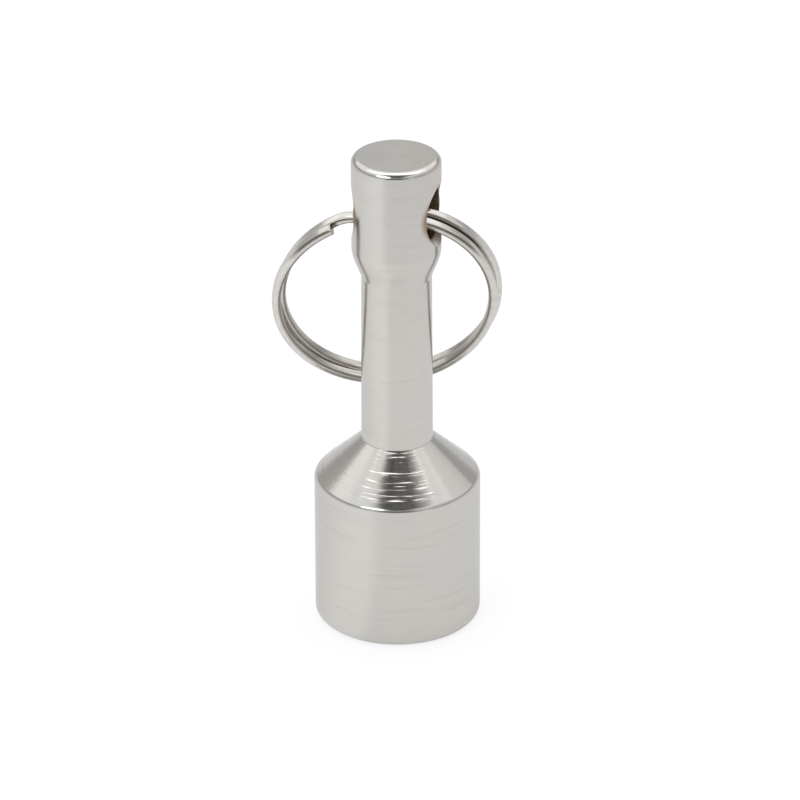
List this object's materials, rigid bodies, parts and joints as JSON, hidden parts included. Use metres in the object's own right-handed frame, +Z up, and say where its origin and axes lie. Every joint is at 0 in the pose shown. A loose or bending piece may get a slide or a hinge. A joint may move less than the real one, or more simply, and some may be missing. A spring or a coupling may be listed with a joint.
{
  "type": "pocket magnet on a split ring",
  "caption": "Turned nickel-plated stem with a cross hole and key ring, seated in a wide conical cup that holds a disc magnet at its foot.",
  "frame": {"origin": "centre of the magnet's working face, flush with the cup's rim, at the bottom", "axes": "+Z up along the turned body, from the magnet's face to the head; X along the cross hole; -Y is the front, from which the ring leans away behind the neck"},
  "size_m": [0.0237, 0.018, 0.0545],
  "materials": {
    "turned_nickel": "nickel plate over a turned surface, satin on the straight side, bright tool rings on the cone",
    "satin_nickel": "satin nickel plate",
    "magnet_nickel": "smooth nickel plate over a sintered magnet",
    "potting_resin": "black casting resin",
    "clear_glue": "cured clear glue",
    "ring_steel": "nickel-plated spring steel, polished on its edges"
  },
  "bodies": {
    "magnet_body": {"magnet_cup": "turned_nickel", "disc_magnet": "magnet_nickel", "resin_collar": "potting_resin", "glue_disc": "clear_glue", "stem": "satin_nickel"},
    "ring": {"split_ring": "ring_steel"}
  },
  "joints": [
    {"name": "ring_swing", "type": "hinge", "parent": "magnet_body", "child": "ring", "pos_m": [0, 0, 0.04828], "axis": [1, 0, 0], "range_deg": [-1.5, 330]}
  ]
}
